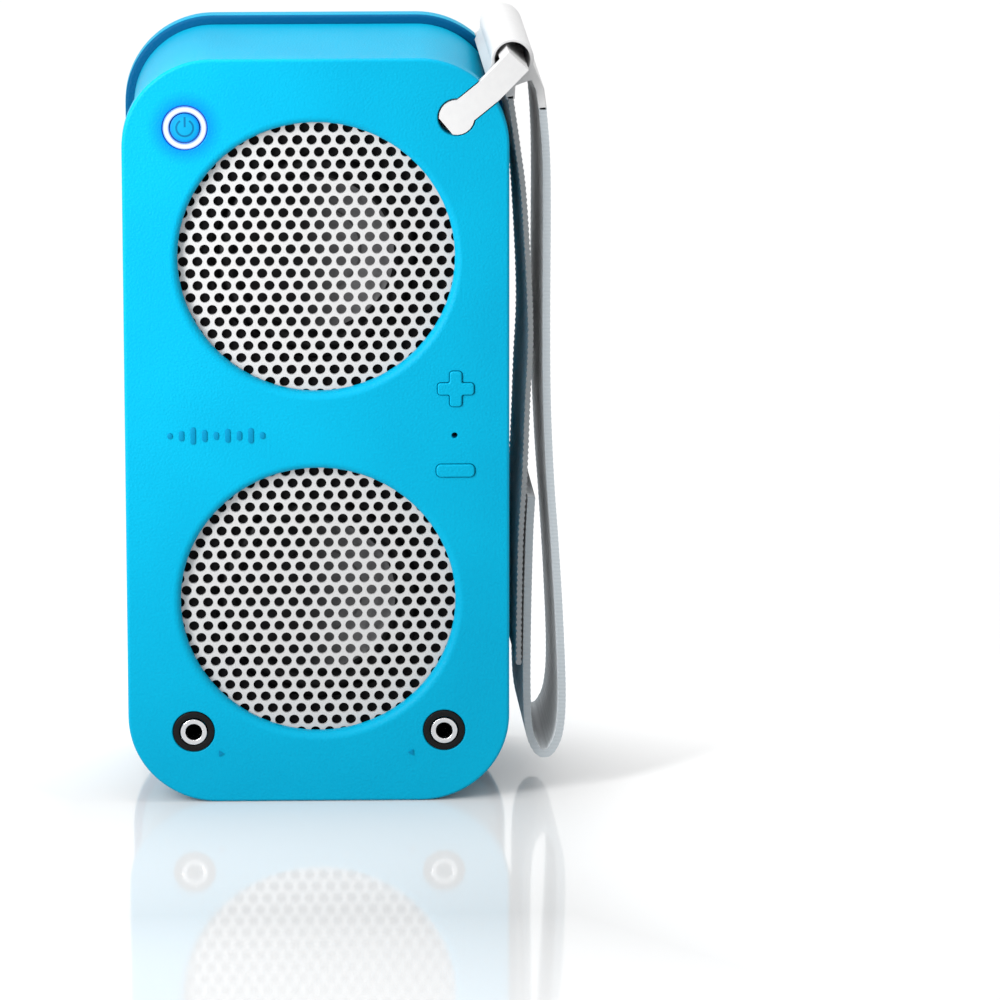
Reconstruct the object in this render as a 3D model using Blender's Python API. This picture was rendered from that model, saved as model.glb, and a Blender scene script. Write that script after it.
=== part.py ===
"""Portable two-driver party speaker with a wrist strap, all sizes in metres, +Z up.

The front looks along -Y. The origin is the middle of the front cover's flat foot strip,
so the speaker stands on z = 0 and its case reaches back along +Y.
"""

import math

import bmesh
import bpy
from mathutils import Matrix, Vector

MM = 0.001
GAP = 0.3 * MM  # clearance between neighbouring pieces

# Case: two equal covers with a shallower waist between them
CASE_WIDTH = 94 * MM
CASE_HEIGHT = 188 * MM
CASE_DEPTH = 54 * MM
CORNER_RADIUS = 22 * MM
RIM_THICKNESS = 4.5 * MM
PANEL_THICKNESS = 3.0 * MM
WAIST_RECESS = 2.2 * MM
WALL = 2.2 * MM
LIP_WALL = 1.6 * MM
LIP_REACH = 3.0 * MM
EDGE_ROUND = 0.8 * MM

# Places across the front, from the case's middle line and from its foot
DRIVER_X = 0.0
DRIVER_HEIGHTS = {"top": 138.2 * MM, "bottom": 51.4 * MM}
GRILLE_OPENING_RADIUS = 33.75 * MM
GRILLE_LIP_RADIUS = 35.75 * MM
GRILLE_RADIUS = 34.75 * MM
GRILLE_THICKNESS = 0.8 * MM
POWER_AT = (-31.6 * MM, 171.1 * MM)
PLUS_AT = (33.9 * MM, 105.4 * MM)
MICROPHONE_AT = (33.6 * MM, 93.6 * MM)
MINUS_AT = (33.8 * MM, 84.7 * MM)
JACKS = {"in": (-30.9 * MM, 18.2 * MM), "out": (30.9 * MM, 18.2 * MM)}
KEYHOLE_AT = (34.2 * MM, 173.4 * MM)
KEYHOLE_RADIUS = 4.6 * MM
SLOT_ANGLE = math.radians(39.5)
SLOT_WIDTH = 7.1 * MM
SLOT_DEPTH = 3.3 * MM
PLUS_ACROSS, PLUS_ARM = 8.9 * MM, 3.0 * MM
MINUS_WIDTH, MINUS_HEIGHT, MINUS_CORNER = 9.4 * MM, 3.2 * MM, 1.2 * MM
RING_INNER, RING_OUTER = 3.85 * MM, 5.35 * MM
JACK_DISC, JACK_SLEEVE, JACK_BORE = 5.05 * MM, 3.25 * MM, 1.8 * MM
JACK_DISC_DEPTH = 1.7 * MM
CHARGE_AT = (0.0, 17.0 * MM)
CHARGE_SIZE = (7.6 * MM, 2.9 * MM)
MAIN_BOARD_DEPTH = 41.2 * MM
MAIN_BOARD_POSTS = [(side * 29 * MM, height * MM) for height in (17, 65) for side in (-1, 1)]
PLUNGER_TIP = 4.4 * MM
PLUNGER_RADIUS = 1.5 * MM
CASE_SCREWS = [(side * 37.5 * MM, height * MM) for height in (30, 159.5) for side in (-1, 1)]
SCREW_SHANK = 1.1 * MM
SCREW_HEAD = 2.6 * MM
DRIVER_SCREW_CIRCLE = 36.6 * MM
DRIVER_SCREW_ANGLES = (30, 150, 270)

# Strap: link, sleeve that turns on it, and the hanging loop
LINK_WIDTH = 6.5 * MM
LINK_THICKNESS = 3.0 * MM
LINK_KNEE_REACH = 11.0 * MM
LINK_END_CUT = 3.4 * MM
PIVOT = (47.9 * MM, 186.2 * MM)
SLEEVE_BORE = 4.3 * MM
SLEEVE_RADIUS = 5.2 * MM
STRAP_WIDTH = 41 * MM
BAND_THICKNESS = 1.9 * MM
WEBBING_THICKNESS = 1.5 * MM
# Where each run of the strap hangs, sideways and up, in millimetres
BAND_RUN = ((55.4, 173.1), (56.0, 164), (56.3, 151), (56.2, 120), (56.4, 100), (57.2, 81),
            (58.3, 65), (59.5, 45), (60.2, 26), (59.6, 16), (57.8, 11.2), (55.8, 9.85),
            (53.8, 11.2), (52.1, 16), (51.5, 26), (51.6, 45), (52.1, 66), (52.6, 76))
WEBBING_RUN = ((47.5, 175.9), (49.2, 164), (50.8, 150), (52.3, 120), (51.6, 100), (50.9, 81),
               (50.0, 66), (49.55, 45), (49.45, 33))
STRAP_LEAN = 2.0 * MM

# Depths, from the front of the case to its back
FRONT = -RIM_THICKNESS / 2
FRONT_PANEL_BACK = FRONT + PANEL_THICKNESS
FRONT_RIM_BACK = FRONT + RIM_THICKNESS
BACK = FRONT + CASE_DEPTH
BACK_PANEL_FRONT = BACK - PANEL_THICKNESS
BACK_RIM_FRONT = BACK - RIM_THICKNESS
BUTTON_FLANGE_FRONT = FRONT_PANEL_BACK + GAP
WAIST_FRONT = FRONT_RIM_BACK + GAP
WAIST_BACK = BACK_RIM_FRONT - GAP
MIDDLE = (FRONT + BACK) / 2
SWITCH_FRONT = 5.1 * MM
BOARD_FRONT = 9.3 * MM
BOARD_THICKNESS = 1.2 * MM

ROUND = 20  # sides of an inner turned piece
FINE_ROUND = 40  # sides of a turned piece that shows
CORNER_STEPS = 6


# Materials

def make_material(name, colour, roughness, metallic=0.0):
    material = bpy.data.materials.new(name)
    material.use_nodes = True
    shader = material.node_tree.nodes["Principled BSDF"]
    shader.inputs["Base Color"].default_value = (*colour, 1.0)
    shader.inputs["Roughness"].default_value = roughness
    shader.inputs["Metallic"].default_value = metallic
    return material


# Mesh helpers: every outline is a list of (x, z) points, turned or pushed along Y

def circle_points(radius, steps, centre=(0.0, 0.0), start=0.0):
    turn = 2 * math.pi / steps
    return [(centre[0] + radius * math.cos(start + i * turn),
             centre[1] + radius * math.sin(start + i * turn)) for i in range(steps)]


def arc_points(centre, radius, first, last, steps):
    return [(centre[0] + radius * math.cos(first + (last - first) * i / steps),
             centre[1] + radius * math.sin(first + (last - first) * i / steps))
            for i in range(steps + 1)]


def rounded_rectangle(width, height, radius, steps=CORNER_STEPS, centre=(0.0, 0.0)):
    points = []
    for quarter, (side, up) in enumerate(((1, 1), (-1, 1), (-1, -1), (1, -1))):
        corner = (centre[0] + side * (width / 2 - radius), centre[1] + up * (height / 2 - radius))
        first = quarter * math.pi / 2
        points += arc_points(corner, radius, first, first + math.pi / 2, steps)
    return points


def case_outline(inset):
    """The case's rounded rectangle, drawn in by inset all round."""
    return rounded_rectangle(CASE_WIDTH - 2 * inset, CASE_HEIGHT - 2 * inset,
                             CORNER_RADIUS - inset, centre=(0.0, CASE_HEIGHT / 2))


def add_prism(bm, outline, low, high):
    """Push an outline in the XZ plane from y = low to y = high, with both ends closed."""
    corners = [bm.verts.new((x, low, z)) for x, z in outline]
    face = bm.faces.new(corners)
    moved = bmesh.ops.extrude_face_region(bm, geom=[face])["geom"]
    far = [item for item in moved if isinstance(item, bmesh.types.BMVert)]
    bmesh.ops.translate(bm, vec=(0.0, high - low, 0.0), verts=far)


def add_turned(bm, profile, centre, steps):
    """Spin a profile of (radius, y) points about the Y axis through centre = (x, z).

    The profile closes on itself, except along the axis, where no wall is needed.
    """
    corners = [bm.verts.new((centre[0] + radius, y, centre[1])) for radius, y in profile]
    turns = range(len(profile))
    loop = [bm.edges.new((corners[i - 1], corners[i])) for i in turns
            if profile[i - 1][0] > 0 or profile[i][0] > 0]
    bmesh.ops.spin(bm, geom=corners + loop, cent=(centre[0], 0.0, centre[1]), axis=(0, 1, 0),
                   angle=2 * math.pi, steps=steps, use_merge=True)


def add_box(bm, low, high):
    x0, y0, z0 = low
    x1, y1, z1 = high
    add_prism(bm, [(x0, z0), (x1, z0), (x1, z1), (x0, z1)], y0, y1)


def finish_mesh(bm, name, centre=(0.0, 0.0, 0.0)):
    """Weld, point the faces out, and move the mesh so that centre becomes its origin."""
    bmesh.ops.remove_doubles(bm, verts=bm.verts, dist=1e-6)
    bmesh.ops.dissolve_degenerate(bm, edges=bm.edges, dist=1e-7)
    bmesh.ops.recalc_face_normals(bm, faces=bm.faces)
    bmesh.ops.translate(bm, vec=-Vector(centre), verts=bm.verts)
    mesh = bpy.data.meshes.new(name)
    bm.to_mesh(mesh)
    bm.free()
    mesh.shade_smooth()
    mesh.set_sharp_from_angle(angle=math.radians(35))
    return mesh


def make_object(name, bm, material, centre=(0.0, 0.0, 0.0)):
    thing = bpy.data.objects.new(name, finish_mesh(bm, name, centre))
    thing.data.materials.append(material)
    thing.location = centre
    bpy.context.scene.collection.objects.link(thing)
    return thing


def make_cutter(name, bm):
    cutter = bpy.data.objects.new(name, finish_mesh(bm, name))
    bpy.context.scene.collection.objects.link(cutter)
    cutter.hide_render = True
    cutter.display_type = "WIRE"
    return cutter


def combine(thing, operation, cutter):
    boolean = thing.modifiers.new(cutter.name, "BOOLEAN")
    boolean.operation = operation
    boolean.solver = "EXACT"
    boolean.use_self = True
    boolean.object = cutter


def turned_piece(name, profile, centre, material, steps=ROUND, origin_depth=0.0):
    bm = bmesh.new()
    add_turned(bm, profile, centre, steps)
    return make_object(name, bm, material, (centre[0], origin_depth, centre[1]))


def tube_profile(inner, outer, low, high):
    return [(inner, low), (outer, low), (outer, high), (inner, high)]


def smooth_line(points, steps):
    """Catmull-Rom curve through (x, z) points, with steps pieces between each pair."""
    ends = [points[0]] + list(points) + [points[-1]]
    line = []
    for i in range(1, len(ends) - 2):
        a, b, c, d = (Vector(p) for p in ends[i - 1:i + 3])
        for step in range(steps):
            t = step / steps
            line.append(0.5 * (2 * b + (c - a) * t + (2 * a - 5 * b + 4 * c - d) * t ** 2
                               + (3 * b - a - 3 * c + d) * t ** 3))
    line.append(Vector(points[-1]))
    return line


def ribbon_outline(line, thickness):
    """The closed outline of a strip that follows a line."""
    sides = []
    for i, point in enumerate(line):
        along = line[min(i + 1, len(line) - 1)] - line[max(i - 1, 0)]
        across = Vector((-along.y, along.x)).normalized() * thickness / 2
        sides.append((point - across, point + across))
    right = [tuple(side[0]) for side in sides]
    left = [tuple(side[1]) for side in reversed(sides)]
    return right + left


def along_slot(distance, across=0.0):
    """A point from the keyhole's centre, outwards along the slot and then across it."""
    cosine, sine = math.cos(SLOT_ANGLE), math.sin(SLOT_ANGLE)
    return (KEYHOLE_AT[0] + distance * cosine - across * sine,
            KEYHOLE_AT[1] + distance * sine + across * cosine)


# Case

def add_cover_blank(bm, low, high):
    """A cover's slab with its outer edges rounded over."""
    add_prism(bm, case_outline(0.0), low, high)
    rims = [edge for edge in bm.edges if abs(edge.verts[0].co.y - edge.verts[1].co.y) < 1e-7]
    bmesh.ops.bevel(bm, geom=rims, offset=EDGE_ROUND, offset_type="OFFSET", segments=2,
                    profile=0.5, affect="EDGES")


def slot_outline():
    half = SLOT_WIDTH / 2
    return [along_slot(0.0, -half), along_slot(20 * MM, -half), along_slot(20 * MM, half),
            along_slot(0.0, half)]


def slot_boss_outline():
    """Material that backs the slot, from the keyhole out to the thick rim."""
    half = SLOT_WIDTH / 2 + 1.2 * MM
    inner = arc_points(KEYHOLE_AT, KEYHOLE_RADIUS + 1.2 * MM, SLOT_ANGLE + math.pi / 2 + 0.2,
                       SLOT_ANGLE + 3 * math.pi / 2 - 0.2, 10)
    return inner + [along_slot(5.2 * MM, -half), along_slot(5.2 * MM, half)]


def keyhole_cuts(bm, face_depth, floor_depth, low, high):
    """The round hole right through, and the slot from the face to its floor."""
    add_turned(bm, [(0.0, low), (KEYHOLE_RADIUS, low), (KEYHOLE_RADIUS, high), (0.0, high)],
               KEYHOLE_AT, 32)
    add_prism(bm, slot_outline(), face_depth, floor_depth)


def plus_outline(centre, across, arm):
    half, inner = across / 2, arm / 2
    corners = [(half, inner), (inner, inner), (inner, half)]
    points = []
    for quarter in range(4):
        turn = Matrix.Rotation(quarter * math.pi / 2, 2)
        points += [turn @ Vector(corner) for corner in corners]
    return [(centre[0] + p.x, centre[1] + p.y) for p in points]


def cylinder(bm, centre, radius, low, high, steps=12):
    add_prism(bm, circle_points(radius, steps, centre), low, high)


def front_cover(material):
    bm = bmesh.new()
    add_cover_blank(bm, FRONT, FRONT_RIM_BACK)
    cover = make_object("front_cover", bm, material)

    bm = bmesh.new()
    add_prism(bm, case_outline(WAIST_RECESS + WALL + GAP), 0.0, FRONT_RIM_BACK + LIP_REACH)
    combine(cover, "UNION", make_cutter("front_lip", bm))

    bm = bmesh.new()
    add_prism(bm, case_outline(WAIST_RECESS + WALL + GAP + LIP_WALL),
              FRONT_PANEL_BACK, FRONT_RIM_BACK + 2 * LIP_REACH)
    cylinder(bm, KEYHOLE_AT, 5.9 * MM, FRONT_RIM_BACK, FRONT_RIM_BACK + 3 * LIP_REACH, 24)
    combine(cover, "DIFFERENCE", make_cutter("front_pocket", bm))

    bm = bmesh.new()
    into_panel = FRONT_PANEL_BACK - 1.0 * MM
    add_prism(bm, slot_boss_outline(), into_panel, FRONT_RIM_BACK)
    for place in CASE_SCREWS:
        cylinder(bm, place, 3.0 * MM, into_panel, BACK_PANEL_FRONT - 1.5 * GAP)
    for place in board_posts():
        cylinder(bm, place, 1.2 * MM, into_panel, BOARD_FRONT - GAP, 10)
    combine(cover, "UNION", make_cutter("front_posts", bm))

    bm = bmesh.new()
    ahead = FRONT - 2 * MM
    behind = FRONT_RIM_BACK + 2 * MM
    keyhole_cuts(bm, ahead, FRONT + SLOT_DEPTH, ahead, behind)
    roll = GRILLE_LIP_RADIUS - GRILLE_OPENING_RADIUS
    flare = [(GRILLE_LIP_RADIUS - roll * math.sin(a), FRONT + roll * (1 - math.cos(a)))
             for a in (0.0, math.pi / 4, math.pi / 2)]
    for height in DRIVER_HEIGHTS.values():
        add_turned(bm, [(0.0, ahead), (GRILLE_LIP_RADIUS, ahead)] + flare
                   + [(GRILLE_OPENING_RADIUS, behind), (0.0, behind)],
                   (DRIVER_X, height), FINE_ROUND)
        for angle in DRIVER_SCREW_ANGLES:
            cylinder(bm, driver_screw_place(height, angle), SCREW_SHANK + GAP,
                     FRONT + 1.2 * MM, behind, 12)
    cylinder(bm, POWER_AT, RING_OUTER + GAP, ahead, behind, 32)
    add_prism(bm, plus_outline(PLUS_AT, PLUS_ACROSS + 2 * GAP, PLUS_ARM + 2 * GAP), ahead, behind)
    add_prism(bm, rounded_rectangle(MINUS_WIDTH + 2 * GAP, MINUS_HEIGHT + 2 * GAP,
                                    MINUS_CORNER + GAP, 4, MINUS_AT), ahead, behind)
    cylinder(bm, MICROPHONE_AT, 0.75 * MM, ahead, behind, 12)
    for place in JACKS.values():
        profile = [(0.0, ahead), (JACK_DISC + GAP, ahead),
                   (JACK_DISC + GAP, FRONT + JACK_DISC_DEPTH + GAP),
                   (JACK_SLEEVE + GAP, FRONT + JACK_DISC_DEPTH + GAP),
                   (JACK_SLEEVE + GAP, behind), (0.0, behind)]
        add_turned(bm, profile, place, ROUND)
    for place in CASE_SCREWS:
        cylinder(bm, place, SCREW_SHANK + GAP, BACK_PANEL_FRONT - 11 * MM, BACK, 12)
    combine(cover, "DIFFERENCE", make_cutter("front_holes", bm))
    return cover


def waist_shell(material):
    bm = bmesh.new()
    add_prism(bm, case_outline(WAIST_RECESS), WAIST_FRONT, WAIST_BACK)
    shell = make_object("waist_shell", bm, material)
    bm = bmesh.new()
    add_prism(bm, case_outline(WAIST_RECESS + WALL), WAIST_FRONT - 5 * MM, WAIST_BACK + 5 * MM)
    combine(shell, "DIFFERENCE", make_cutter("waist_hollow", bm))
    return shell


MAIN_BOARD_LOW, MAIN_BOARD_HIGH = (-33 * MM, 12 * MM), (33 * MM, 70 * MM)


def back_cover(material):
    bm = bmesh.new()
    add_cover_blank(bm, BACK_RIM_FRONT, BACK)
    cover = make_object("back_cover", bm, material)

    bm = bmesh.new()
    add_prism(bm, case_outline(WAIST_RECESS + WALL + GAP), BACK_RIM_FRONT - LIP_REACH,
              BACK - 1 * MM)
    combine(cover, "UNION", make_cutter("back_lip", bm))

    bm = bmesh.new()
    add_prism(bm, case_outline(WAIST_RECESS + WALL + GAP + LIP_WALL),
              BACK_RIM_FRONT - 2 * LIP_REACH, BACK_PANEL_FRONT)
    cylinder(bm, KEYHOLE_AT, 5.9 * MM, BACK_RIM_FRONT - 3 * LIP_REACH, BACK_RIM_FRONT, 24)
    combine(cover, "DIFFERENCE", make_cutter("back_pocket", bm))

    bm = bmesh.new()
    into_panel = BACK_PANEL_FRONT + 1.0 * MM
    add_prism(bm, slot_boss_outline(), BACK_RIM_FRONT, into_panel)
    for place in MAIN_BOARD_POSTS:
        cylinder(bm, place, 2.2 * MM, MAIN_BOARD_DEPTH + BOARD_THICKNESS + GAP, into_panel, 12)
    combine(cover, "UNION", make_cutter("back_posts", bm))

    bm = bmesh.new()
    beyond = BACK + 2 * MM
    inside = BACK_RIM_FRONT - 2 * MM
    keyhole_cuts(bm, beyond, BACK - SLOT_DEPTH, inside, beyond)
    for place in CASE_SCREWS:
        add_turned(bm, [(0.0, inside), (SCREW_SHANK + GAP, inside),
                        (SCREW_SHANK + GAP, BACK - 2 * MM), (SCREW_HEAD + GAP, BACK - 2 * MM),
                        (SCREW_HEAD + GAP, beyond), (0.0, beyond)], place, 20)
    add_prism(bm, rounded_rectangle(CHARGE_SIZE[0] + 2 * GAP, CHARGE_SIZE[1] + 2 * GAP,
                                    0.8 * MM, 3, CHARGE_AT), inside, beyond)
    combine(cover, "DIFFERENCE", make_cutter("back_holes", bm))
    return cover


def case_screws(material):
    head_front = BACK - 1.7 * MM
    profile = [(0.0, BACK_PANEL_FRONT - 9 * MM), (SCREW_SHANK, BACK_PANEL_FRONT - 9 * MM),
               (SCREW_SHANK, head_front), (SCREW_HEAD, head_front),
               (SCREW_HEAD, BACK - 0.5 * MM), (0.0, BACK - 0.2 * MM)]
    for number, place in enumerate(CASE_SCREWS, 1):
        turned_piece(f"case_screw_{number}", profile, place, material, 12)


# Front fittings

def grilles(material):
    low = FRONT_PANEL_BACK + GAP
    for where, height in DRIVER_HEIGHTS.items():
        bm = bmesh.new()
        cylinder(bm, (DRIVER_X, height), GRILLE_RADIUS, low, low + GRILLE_THICKNESS, FINE_ROUND)
        make_object(f"grille_{where}", bm, material)


def add_button_back(bm, centre, width, height):
    """The retaining flange behind the panel and the plunger that meets the switch."""
    flange_back = BUTTON_FLANGE_FRONT + 0.9 * MM
    add_prism(bm, rounded_rectangle(width, height, 1 * MM, 3, centre),
              BUTTON_FLANGE_FRONT, flange_back)
    cylinder(bm, centre, PLUNGER_RADIUS, flange_back - 0.3 * MM, PLUNGER_TIP, 12)


def power_button(ring_material, button_material):
    ring_back = FRONT_PANEL_BACK + 1.5 * MM
    flange = RING_OUTER + 0.95 * MM
    turned_piece("light_ring", [
        (RING_INNER, FRONT - 0.1 * MM), (RING_OUTER, FRONT - 0.1 * MM),
        (RING_OUTER, FRONT_PANEL_BACK + GAP), (flange, FRONT_PANEL_BACK + GAP),
        (flange, ring_back), (RING_INNER, ring_back)], POWER_AT, ring_material, 32)
    cap = RING_INNER - GAP
    turned_piece("power_button", [
        (0.0, FRONT), (cap, FRONT), (cap, ring_back + GAP), (5.0 * MM, ring_back + GAP),
        (5.0 * MM, ring_back + 1.1 * MM), (PLUNGER_RADIUS, ring_back + 1.1 * MM),
        (PLUNGER_RADIUS, PLUNGER_TIP), (0.0, PLUNGER_TIP)],
        POWER_AT, button_material, 24, FRONT)


def volume_buttons(material):
    raised = FRONT - 0.5 * MM
    caps = {
        "volume_up_button": (PLUS_AT, plus_outline(PLUS_AT, PLUS_ACROSS, PLUS_ARM),
                             (11.4 * MM, 11.4 * MM)),
        "volume_down_button": (MINUS_AT, rounded_rectangle(
            MINUS_WIDTH, MINUS_HEIGHT, MINUS_CORNER, 4, MINUS_AT), (11.8 * MM, 6.0 * MM)),
    }
    for name, (place, outline, flange) in caps.items():
        bm = bmesh.new()
        add_prism(bm, outline, raised, BUTTON_FLANGE_FRONT + 0.3 * MM)
        button = make_object(name, bm, material, (place[0], FRONT, place[1]))
        bm = bmesh.new()
        add_button_back(bm, place, *flange)
        combine(button, "UNION", make_cutter(f"{name}_back", bm))


def switches(material):
    for name, place in (("power_switch", POWER_AT), ("volume_up_switch", PLUS_AT),
                        ("volume_down_switch", MINUS_AT)):
        body_front = SWITCH_FRONT + 0.5 * MM
        bm = bmesh.new()
        half = 3 * MM
        add_box(bm, (place[0] - half, body_front, place[1] - half),
                (place[0] + half, BOARD_FRONT - GAP, place[1] + half))
        switch = make_object(name, bm, material)
        bm = bmesh.new()
        cylinder(bm, place, 1.7 * MM, SWITCH_FRONT, body_front + 0.5 * MM, 12)
        combine(switch, "UNION", make_cutter(f"{name}_stem", bm))


def board_posts():
    reach = 7.9 * MM
    slant = math.radians(45)
    step = (reach * math.cos(slant), reach * math.sin(slant))
    around_power = [(POWER_AT[0] + step[0], POWER_AT[1] + step[1]),
                    (POWER_AT[0] - step[0], POWER_AT[1] - step[1])]
    return around_power + [(38.5 * MM, 97.5 * MM), (38.5 * MM, 91.0 * MM)]


def boards(material):
    bm = bmesh.new()
    cylinder(bm, POWER_AT, 8.6 * MM, BOARD_FRONT, BOARD_FRONT + BOARD_THICKNESS, 24)
    make_object("power_board", bm, material)
    bm = bmesh.new()
    add_box(bm, (29 * MM, BOARD_FRONT, 78 * MM), (41 * MM, BOARD_FRONT + BOARD_THICKNESS, 112 * MM))
    make_object("volume_board", bm, material)
    bm = bmesh.new()
    add_box(bm, (MAIN_BOARD_LOW[0], MAIN_BOARD_DEPTH, MAIN_BOARD_LOW[1]),
            (MAIN_BOARD_HIGH[0], MAIN_BOARD_DEPTH + BOARD_THICKNESS, MAIN_BOARD_HIGH[1]))
    make_object("main_board", bm, material)


def microphone(material):
    turned_piece("microphone", [(0.0, FRONT_PANEL_BACK + GAP), (2.2 * MM, FRONT_PANEL_BACK + GAP),
                                (2.2 * MM, BOARD_FRONT - GAP), (0.0, BOARD_FRONT - GAP)],
                 MICROPHONE_AT, material, 16)


def jacks(trim_material, sleeve_material, body_material):
    sleeve_back = 5.0 * MM
    body_back = 15.0 * MM
    body_front = FRONT_PANEL_BACK + GAP
    half = 4.5 * MM
    for name, place in JACKS.items():
        turned_piece(f"jack_{name}_trim", tube_profile(JACK_SLEEVE + GAP, JACK_DISC,
                     FRONT - 0.1 * MM, FRONT + JACK_DISC_DEPTH), place, trim_material, ROUND)
        turned_piece(f"jack_{name}_sleeve", tube_profile(JACK_BORE, JACK_SLEEVE,
                     FRONT - 0.4 * MM, sleeve_back), place, sleeve_material, ROUND)
        bm = bmesh.new()
        add_box(bm, (place[0] - half, body_front, place[1] - half),
                (place[0] + half, body_back, place[1] + half))
        body = make_object(f"jack_{name}_body", bm, body_material)
        bm = bmesh.new()
        seat = JACK_SLEEVE + GAP
        add_turned(bm, [(0.0, FRONT), (seat, FRONT), (seat, sleeve_back + GAP),
                        (JACK_BORE, sleeve_back + GAP), (JACK_BORE, body_back - 1 * MM),
                        (0.0, body_back - 1 * MM)], place, 20)
        combine(body, "DIFFERENCE", make_cutter(f"jack_{name}_bore", bm))


# Drivers: each turned about its own axis, profiles are (radius, depth)

def driver_screw_place(height, angle):
    turn = math.radians(angle)
    return (DRIVER_X + DRIVER_SCREW_CIRCLE * math.cos(turn),
            height + DRIVER_SCREW_CIRCLE * math.sin(turn))


def cap_profile(radius, sink, wall, rim_depth, steps):
    """A thin dished cap that sinks away from the front, closed at its middle."""
    sphere = (radius ** 2 + sink ** 2) / (2 * sink)
    spread = math.asin(radius / sphere)
    centre = rim_depth + sink - sphere
    front = [(sphere * math.sin(spread * i / steps), centre + sphere * math.cos(spread * i / steps))
             for i in range(steps + 1)]
    back = [(r, y + wall) for r, y in reversed(front)]
    return front + back


def driver(where, height, looks):
    place = (DRIVER_X, height)
    flange_front = FRONT_PANEL_BACK + GRILLE_THICKNESS + 2 * GAP
    flange_back = flange_front + 1.3 * MM

    def turned(name, profile, material):
        turned_piece(f"{name}_{where}", [(r * MM, y * MM) for r, y in profile], place, looks[material])

    bm = bmesh.new()
    add_turned(bm, [(r * MM, y * MM) for r, y in (
        (39, 2.15), (39, 3.45), (30, 3.45), (30, 6.3), (27.4, 6.3), (19.6, 20.0),
        (19.6, 22.3), (11, 22.3), (11, 21), (18.1, 21), (18.1, 19.4), (25.9, 5.3),
        (28.6, 5.3), (28.6, 3.45), (26, 3.45), (26, 2.15))], place, ROUND)
    basket = make_object(f"basket_{where}", bm, looks["basket"])
    bm = bmesh.new()
    window_half, window_low, window_high = 6.5 * MM, 9 * MM, 17 * MM
    add_prism(bm, plus_outline(place, 2 * DRIVER_SCREW_CIRCLE, 2 * window_half),
              window_low, window_high)
    for angle in DRIVER_SCREW_ANGLES:
        cylinder(bm, driver_screw_place(height, angle), SCREW_SHANK + GAP,
                 flange_front - 1 * MM, flange_back + 1 * MM, 12)
    combine(basket, "DIFFERENCE", make_cutter(f"basket_{where}_cuts", bm))

    crest, roll, skin = (22.2, 5.1), 2.6, 0.45
    lip_inner, lip_outer, lip_front, lip_back = 19.3, 28.3, 4.4, 4.9
    start, end = math.radians(196), math.radians(344)
    turned("surround", [(lip_inner, lip_front)] + arc_points(crest, roll, start, end, 4) + [
        (lip_outer, lip_front), (lip_outer, lip_back), (crest[0] + roll, lip_back)]
        + arc_points(crest, roll - skin, end, start, 4) + [(lip_inner, lip_back)], "surround")
    turned("cone", ((19.0, 4.4), (19.0, 5.0), (14.0, 7.9), (9.9, 9.7), (9.3, 9.7), (9.3, 9.1),
                    (14.0, 7.3)), "cone")
    turned("dust_cap", cap_profile(10.6, 1.6, 0.4, 7.7, 3), "cap")
    turned("voice_coil", tube_profile(8.7, 9.0, 10.4, 27), "coil")
    turned("spider", ((9.4, 17.6), (12.0, 18.2), (14.5, 17.6), (17.0, 17.6), (17.0, 18.1),
                      (14.5, 18.1), (12.0, 18.7), (9.4, 18.1)), "spider")
    turned("front_plate", tube_profile(9.6, 19, 22.6, 26.6), "steel")
    turned("magnet", tube_profile(10.6, 21, 26.9, 34.9), "ferrite")
    turned("yoke", ((0, 22.6), (8.4, 22.6), (8.4, 35.2), (20, 35.2), (20, 39.2), (0, 39.2)), "steel")

    for number, angle in enumerate(DRIVER_SCREW_ANGLES, 1):
        turned_piece(f"driver_screw_{where}_{number}", [
            (0.0, FRONT + 1.6 * MM), (SCREW_SHANK, FRONT + 1.6 * MM),
            (SCREW_SHANK, flange_back + GAP), (2.0 * MM, flange_back + GAP),
            (2.0 * MM, flange_back + 1.6 * MM), (0.0, flange_back + 1.6 * MM)],
            driver_screw_place(height, angle), looks["steel"], 10)


# Battery and charging

def battery(pack_material, tray_material):
    """Two round cells side by side in one wrap, lying across the case in a U-shaped tray."""
    length, cell = 65 * MM, 18.4 * MM
    centre = (37.5 * MM, 94.9 * MM)
    for name, outline, width, material in (
            ("battery_pack", rounded_rectangle(cell, 2 * cell, cell / 2 - 0.01 * MM, 6, centre),
             length, pack_material),
            ("battery_tray", tray_outline(centre, cell), length + 4 * MM, tray_material)):
        bm = bmesh.new()
        add_prism(bm, outline, -width / 2, width / 2)
        # The outline was drawn as (y, z) and pushed along Y: turn it to run along X
        bmesh.ops.transform(bm, matrix=Matrix(((0, 1, 0, 0), (1, 0, 0, 0), (0, 0, 1, 0),
                                               (0, 0, 0, 1))), verts=bm.verts)
        make_object(name, bm, material)


def tray_outline(centre, cell):
    wall = 1.2 * MM
    inner = cell + GAP
    floor = centre[0] + cell / 2 + GAP
    top = floor - 11 * MM
    low, high = centre[1] - inner, centre[1] + inner
    return [(top, low - wall), (floor + wall, low - wall), (floor + wall, high + wall),
            (top, high + wall), (top, high), (floor, high), (floor, low), (top, low)]


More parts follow.
